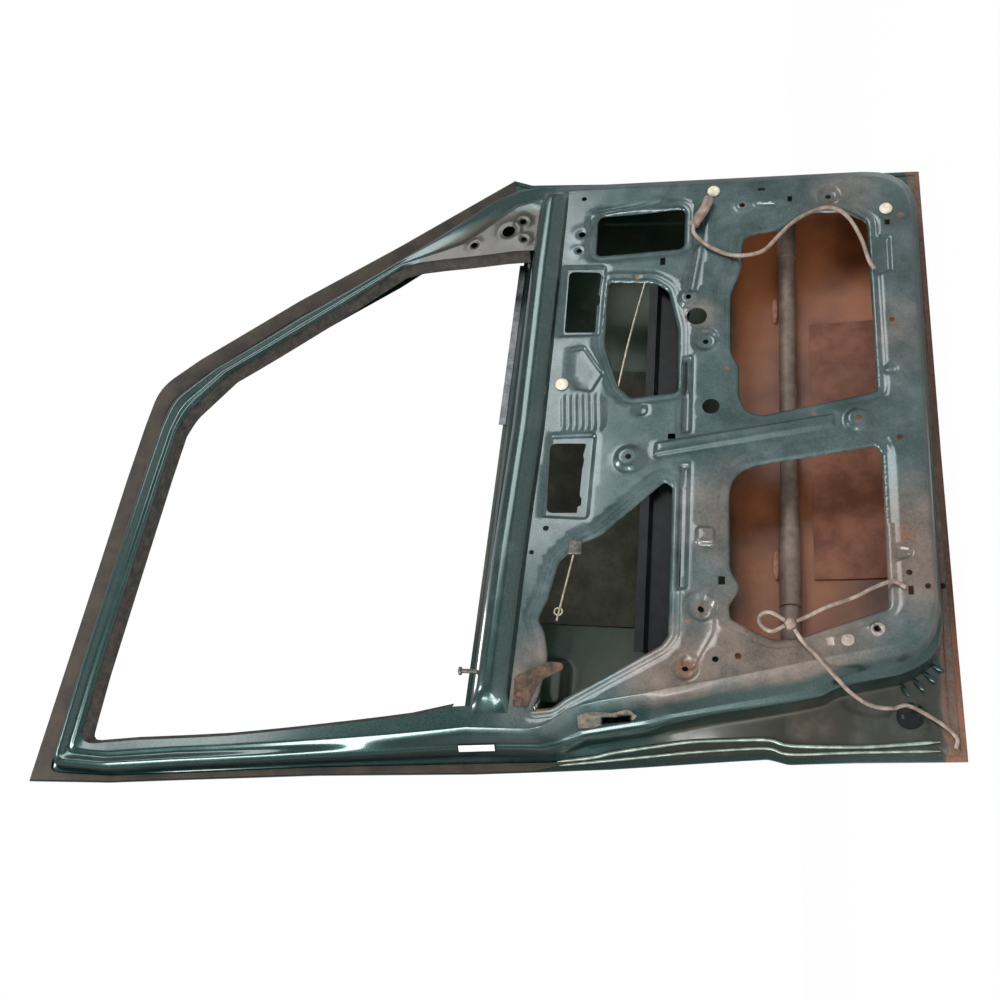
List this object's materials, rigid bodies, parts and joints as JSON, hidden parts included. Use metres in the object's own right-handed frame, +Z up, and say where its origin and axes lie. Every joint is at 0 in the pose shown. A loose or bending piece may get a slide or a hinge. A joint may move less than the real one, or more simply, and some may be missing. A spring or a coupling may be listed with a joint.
{
  "type": "car door shell",
  "caption": "Bare left front car door: pressed inner panel with cut-outs, window frame, outer skin, side impact beam, belt rails, glass channel and leftover straps.",
  "frame": {"origin": "middle of the upper hinge seat, on the front shut face", "axes": "+X forward out of the front shut face, +Y outboard, +Z up with the door as hung on the car"},
  "size_m": [1.0515, 0.1245, 1.2195],
  "materials": {
    "inner_panel": "dusty metallic gloss",
    "outer_skin": "metallic gloss outside, dusty inside",
    "brown_black_strip": "matte, dusty",
    "beam_steel": "dusty matte",
    "black_rail_paint": "satin",
    "bright_strip_metal": "polished",
    "plated_rod": "dull plated",
    "rusty_steel": "rusty",
    "black_rubber": "matte",
    "bitumen_pad": "matte",
    "white_clip_plastic": "satin",
    "mastic": "matte",
    "dusty_cord": "matte"
  },
  "bodies": {
    "root": {"inner_panel": "inner_panel", "outer_skin": "outer_skin", "frame_seal_strip": "brown_black_strip", "belt_rail_inner": "inner_panel", "belt_rail_outer": "outer_skin", "belt_bright_strip": "bright_strip_metal", "glass_run_channel": "black_rubber", "impact_beam": "beam_steel", "beam_bracket_rear": "beam_steel", "beam_bracket_front": "beam_steel", "beam_sleeve": "beam_steel", "window_guide_rail": "black_rail_paint", "skin_pad_upper": "bitumen_pad", "skin_pad_lower": "bitumen_pad", "mastic_pad_1": "mastic", "mastic_pad_2": "mastic", "mastic_pad_3": "mastic", "hinge_plate_upper": "rusty_steel", "hinge_plate_lower": "rusty_steel", "latch_bracket": "rusty_steel", "trim_clip_1": "white_clip_plastic", "trim_clip_2": "white_clip_plastic", "trim_clip_3": "white_clip_plastic", "belt_stud": "plated_rod", "lock_rod": "plated_rod", "handle_rod": "plated_rod", "rod_clip": "plated_rod", "upper_lead": "dusty_cord", "lead_wrap": "dusty_cord", "front_strap": "dusty_cord", "loop_strap": "dusty_cord", "rear_strap": "dusty_cord", "strap_knot": "dusty_cord"}
  },
  "joints": []
}
